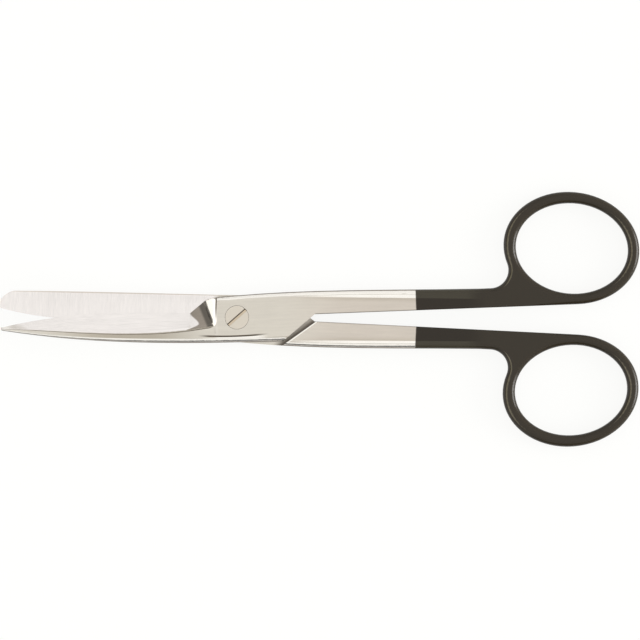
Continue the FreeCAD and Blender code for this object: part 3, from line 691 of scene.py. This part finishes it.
@dataclass(frozen=True)
class ScrewDressing:
    """Dresses the pivot screw: a fine turned face, and a slot with painted shade at its walls and one side.
    """

    node: str = "pivot_screw"
    face: SteelFinish = SteelFinish(tone(209, 201, 188), 0.30, 0.12)
    # Painted shade on the slot's walls and the screw's steep sides.
    wall: SteelFinish = SteelFinish(tone(96, 86, 74), 0.35, 0.05)
    floor: SteelFinish = SteelFinish(tone(206, 190, 167), 0.35, 0.05)
    steep: Range = (0.8, 0.5)
    slot_angle: float = 41.5
    # Where painted shade darkens one side of the slot's floor.
    slot_shade: Range = (0.02 * MM, 0.16 * MM)
    floor_height: Range = (3.5 * MM, 3.4 * MM)
    ring_scale: float = 900.0
    ring_distortion: float = 1.5
    ring_detail: float = 2.0
    grit: float = 9000.0
    grit_share: float = 0.5
    depth: float = 0.01 * MM

    def dress(self, effects: EffectGroups) -> None:
        """Give the screw its material.

        Args:
            effects: The shared shader groups.
        """
        material, graph = new_material("turned_screw_steel")
        coordinates = graph.node("ShaderNodeTexCoord")
        place = coordinates.outputs["Object"]
        height = graph.node("ShaderNodeSeparateXYZ", {0: place}).outputs[2]
        upright = graph.node("ShaderNodeSeparateXYZ", {0: coordinates.outputs["Normal"]}).outputs[2]
        steep = graph.span(graph.math("ABSOLUTE", upright), *self.steep)
        angle = math.radians(self.slot_angle)
        aside = graph.dot(place, (-math.sin(angle), math.cos(angle), 0.0))
        # The slot's floor takes painted shade along one side.
        floor = graph.blend(graph.span(aside, *self.slot_shade), self.floor.colour, self.wall.colour)
        colour = graph.blend(steep, self.face.colour, self.wall.colour)
        colour = graph.blend(graph.span(height, *self.floor_height), colour, floor)
        rings = graph.node("ShaderNodeTexWave", {"Vector": place, "Scale": self.ring_scale,
                                                 "Distortion": self.ring_distortion,
                                                 "Detail": self.ring_detail},
                           wave_type="RINGS", rings_direction="Z")
        grit = graph.node("ShaderNodeGroup", node_tree=effects.grit)
        graph.tree.links.new(place, grit.inputs["Place"])
        grit.inputs["Grain"].default_value = self.grit
        relief = graph.blend(self.grit_share, rings.outputs["Fac"], grit.outputs["Height"])
        bump = graph.node("ShaderNodeBump", {"Height": relief, "Distance": self.depth,
                                             "Strength": self.face.marks})
        shader = graph.node("ShaderNodeBsdfPrincipled", {
            "Base Color": colour, "Roughness": graph.blend(steep, self.face.roughness, self.wall.roughness),
            "Metallic": 1.0, "Normal": bump.outputs[0]})
        graph.node("ShaderNodeOutputMaterial", {"Surface": shader.outputs[0]})
        wear_material(self.node, material)


@dataclass(frozen=True)
class RoomField:
    """A round field of the room around the scissors that is brighter or darker than the rest.

    The azimuth counts from +X towards +Y and the elevation from the floor up. The field has its full level
    within the inner angle and ends at the outer one. All angles are in degrees.
    """

    azimuth: float
    elevation: float
    inner: float
    outer: float
    level: float

    def towards(self) -> tuple[float, float, float]:
        """Direction of the field's middle, as a vector of length one."""
        azimuth, elevation = math.radians(self.azimuth), math.radians(self.elevation)
        flat = math.cos(elevation)
        return (flat * math.cos(azimuth), flat * math.sin(azimuth), math.sin(elevation))


@dataclass(frozen=True)
class Studio:
    """The floor, the soft light and the camera straight above."""

    view_width: float = 140.67 * MM
    distance: float = 4.0
    clip_distance: float = 40.0
    middle: Range = (18.25 * MM, -0.47 * MM)
    roll_degrees: float = 0.33
    sensor: float = 36.0
    floor_half: float = 3.0
    floor_drop: float = 0.05 * MM
    paper_colour: tuple[float, float, float, float] = (0.93, 0.93, 0.92, 1.0)
    glow_colour: tuple[float, float, float, float] = (1.0, 1.0, 0.985, 1.0)
    glow_share: float = 0.9
    room_level: float = 1.0
    backdrop_level: float = 1.0
    room_colour: tuple[float, float, float, float] = (1.0, 1.0, 0.99, 1.0)
    fields: tuple[RoomField, ...] = (
        RoomField(azimuth=168.0, elevation=44.0, inner=14.0, outer=24.0, level=0.15),
        RoomField(azimuth=104.0, elevation=28.0, inner=5.0, outer=9.0, level=0.35),
        RoomField(azimuth=-90.0, elevation=8.0, inner=26.0, outer=32.0, level=0.20),
        RoomField(azimuth=180.0, elevation=13.0, inner=10.0, outer=15.0, level=1.7),
        RoomField(azimuth=180.0, elevation=78.0, inner=5.0, outer=8.0, level=1.5),
        RoomField(azimuth=0.0, elevation=12.0, inner=17.0, outer=26.0, level=9.0),
    )
    lamp_place: tuple[float, float, float] = (0.1, 0.3, 1.2)
    lamp_size: float = 1.0
    lamp_power: float = 0.2

    def camera(self) -> None:
        """Place the camera over the scissors."""
        data = bpy.data.cameras.new("camera")
        data.sensor_width = self.sensor
        data.lens = self.sensor * self.distance / self.view_width
        data.clip_end = self.clip_distance
        camera = bpy.data.objects.new("camera", data)
        camera.location = (*self.middle, self.distance)
        camera.rotation_euler = (0.0, 0.0, math.radians(self.roll_degrees))
        bpy.context.scene.collection.objects.link(camera)
        bpy.context.scene.camera = camera

    def floor(self) -> None:
        """Lay the pale floor, which keeps a faint shadow."""
        mesh = bpy.data.meshes.new("floor")
        half = self.floor_half
        corners = [(x * half, y * half, -self.floor_drop) for x, y in ((-1, -1), (1, -1), (1, 1), (-1, 1))]
        mesh.from_pydata(corners, [], [(0, 1, 2, 3)])
        piece = bpy.data.objects.new("floor", mesh)
        bpy.context.scene.collection.objects.link(piece)
        material, graph = new_material("floor_paper")
        paper = graph.node("ShaderNodeBsdfDiffuse", {"Color": self.paper_colour})
        glow = graph.node("ShaderNodeEmission", {"Color": self.glow_colour, "Strength": 1.0})
        ray = graph.node("ShaderNodeLightPath")
        seen = graph.math("MAXIMUM", ray.outputs["Is Camera Ray"], ray.outputs["Is Glossy Ray"])
        seen = graph.math("MAXIMUM", seen, ray.outputs["Is Transmission Ray"])
        mixed = graph.node("ShaderNodeMixShader", {0: graph.math("MULTIPLY", seen, self.glow_share),
                                                   1: paper.outputs[0], 2: glow.outputs[0]})
        graph.node("ShaderNodeOutputMaterial", {"Surface": mixed.outputs[0]})
        mesh.materials.append(material)

    def room(self) -> None:
        """Surround the scissors with a bright room that has darker and brighter fields."""
        world = bpy.data.worlds.new("studio")
        world.use_nodes = True
        world.node_tree.nodes.clear()
        graph = Graph(world.node_tree)
        towards = graph.node("ShaderNodeTexCoord").outputs["Generated"]
        level = self.room_level
        for field in self.fields:
            edges = (math.cos(math.radians(angle)) for angle in (field.outer, field.inner))
            level = graph.blend(graph.span(graph.dot(towards, field.towards()), *edges), level, field.level)
        ray = graph.node("ShaderNodeLightPath")
        level = graph.blend(ray.outputs["Is Camera Ray"], level, self.backdrop_level)
        sky = graph.node("ShaderNodeBackground", {"Color": self.room_colour, "Strength": level})
        graph.node("ShaderNodeOutputWorld", {"Surface": sky.outputs[0]})
        bpy.context.scene.world = world

    def lamp(self) -> None:
        """Hang one soft lamp over the scissors, aimed at the pivot."""
        data = bpy.data.lights.new("overhead_box", "AREA")
        data.size = self.lamp_size
        data.energy = self.lamp_power
        lamp = bpy.data.objects.new("overhead_box", data)
        lamp.location = self.lamp_place
        lamp.rotation_euler = Vector(self.lamp_place).to_track_quat("Z", "Y").to_euler()
        bpy.context.scene.collection.objects.link(lamp)


def main() -> None:
    """Build the studio and dress the scissors."""
    logging.basicConfig(level=logging.INFO, format="%(message)s")
    studio = Studio()
    studio.floor()
    studio.room()
    studio.lamp()
    studio.camera()
    effects = EffectGroups()
    for node, blade in (("sharp_half", Blade.SHARP), ("blunt_half", Blade.BLUNT)):
        HalfDressing(node, blade, HalfFinish(), effects).dress()
    ScrewDressing().dress(effects)
    bpy.context.scene.view_settings.view_transform = "Standard"


if __name__ == "__main__":
    main()
